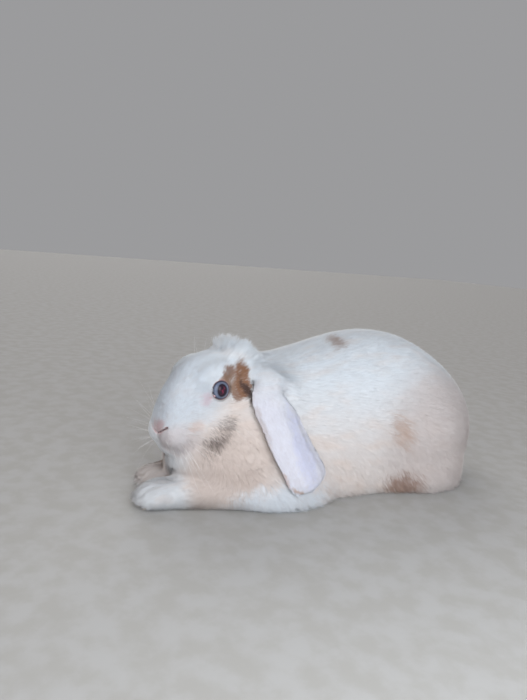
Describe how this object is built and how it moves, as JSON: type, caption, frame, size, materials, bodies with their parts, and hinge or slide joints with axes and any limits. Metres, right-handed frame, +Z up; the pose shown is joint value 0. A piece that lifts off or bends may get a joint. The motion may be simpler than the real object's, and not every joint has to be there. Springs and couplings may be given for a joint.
{
  "type": "lop rabbit",
  "caption": "Life-size lop-eared rabbit lying on its belly with the forepaws stretched out and the head turned a little to its left.",
  "frame": {"origin": "on the floor, under the middle of the whole rabbit's box", "axes": "the rabbit faces -Y, its left side is +X, and +Z is up"},
  "size_m": [0.1376, 0.3168, 0.1239],
  "materials": {
    "white_coat": "soft white fur with tan and grey-brown marks",
    "ear_coat": "very short white fur over pink skin",
    "eye": "wet and glossy"
  },
  "bodies": {
    "root": {"head": "white_coat", "neck": "white_coat", "trunk": "white_coat", "tail": "white_coat", "foreleg_left": "white_coat", "foreleg_right": "white_coat", "hind_leg_left": "white_coat", "hind_leg_right": "white_coat", "ear_left": "ear_coat", "ear_right": "ear_coat", "eye_left": "eye", "eye_right": "eye"}
  },
  "joints": []
}
